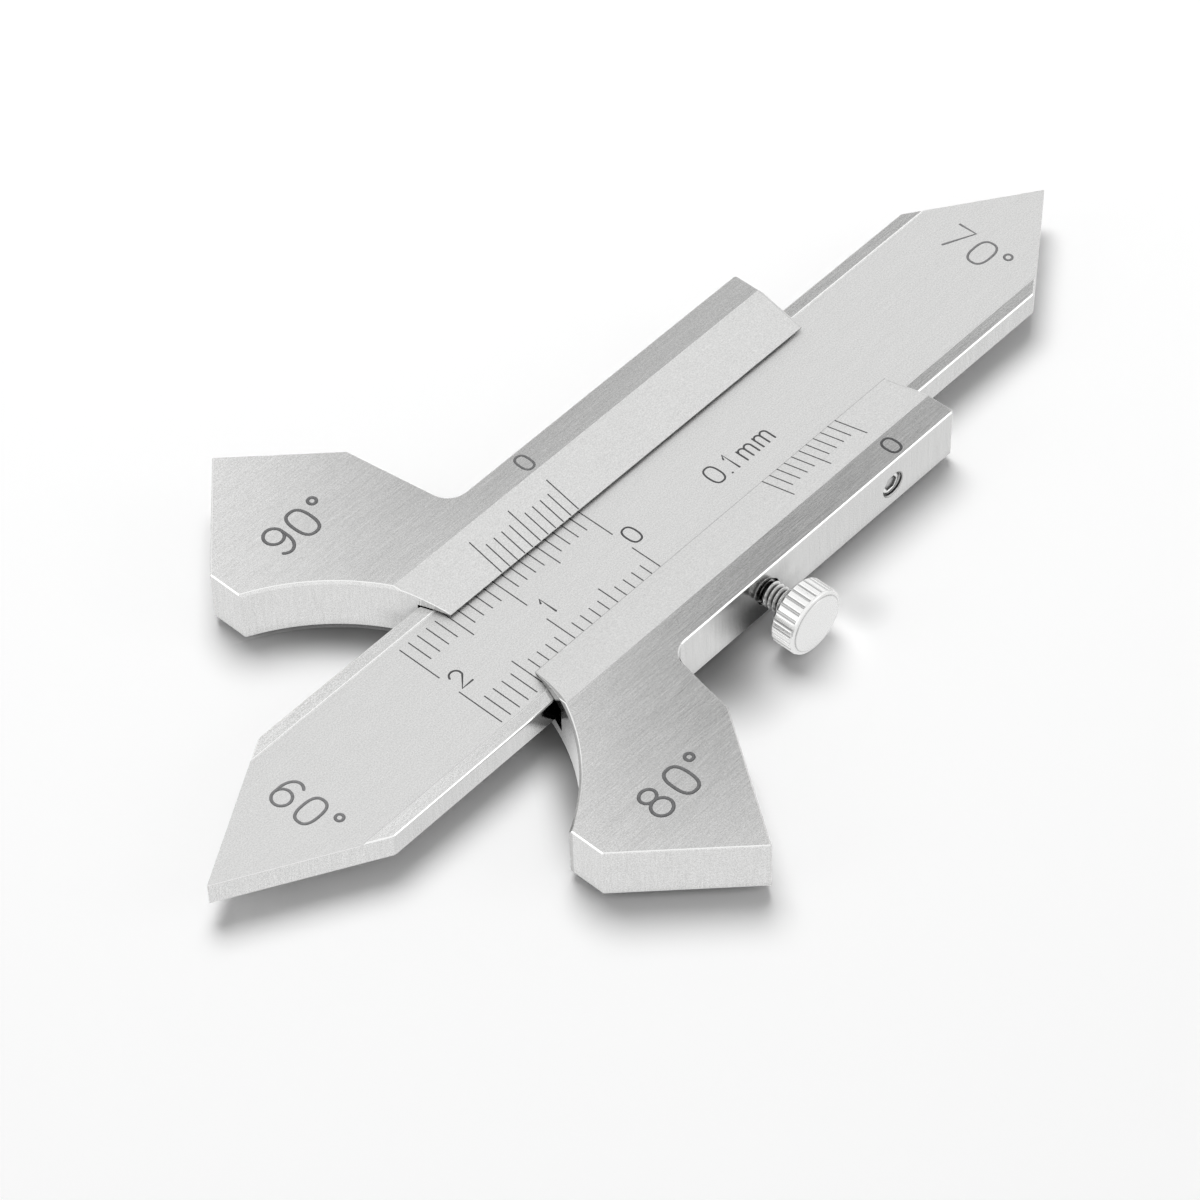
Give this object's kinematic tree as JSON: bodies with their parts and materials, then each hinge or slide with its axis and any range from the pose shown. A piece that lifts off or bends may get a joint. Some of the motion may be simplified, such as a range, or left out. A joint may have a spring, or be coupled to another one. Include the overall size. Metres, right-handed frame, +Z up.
{
  "type": "weld gauge",
  "caption": "Flat steel weld gauge: a pointed, graduated bar slides through a plate with angled test ears, vernier lips and a knurled clamp screw.",
  "frame": {"origin": "on the surface that the gauge lies on, under the middle of the bar at the zero reading", "axes": "+X along the bar towards its 70 degree point, +Y towards the 90 degree ear, +Z up out of the scale faces"},
  "size_m": [0.1, 0.06, 0.006],
  "materials": {
    "body_steel": "ground flats, satin lips",
    "bar_steel": "satin scale face between ground rails",
    "gib_steel": "rolled spring steel",
    "set_screw_steel": "bright",
    "screw_plating": "bright plated, straight knurl"
  },
  "bodies": {
    "slider": {"slider_body": "body_steel", "gib_strip": "gib_steel", "gib_set_screw": "set_screw_steel"},
    "bar": {"gauge_bar": "bar_steel"},
    "clamp_screw": {"thumb_screw": "screw_plating"}
  },
  "joints": [
    {"name": "bar_slide", "type": "slide", "parent": "slider", "child": "bar", "axis": [1, 0, 0], "range_m": [-0.016, 0.041]},
    {"name": "thumb_screw_turn", "type": "hinge", "parent": "slider", "child": "clamp_screw", "pos_m": [0.00065, -0.0144, 0.003], "axis": [0, -1, 0], "range_deg": [0, 360]}
  ]
}
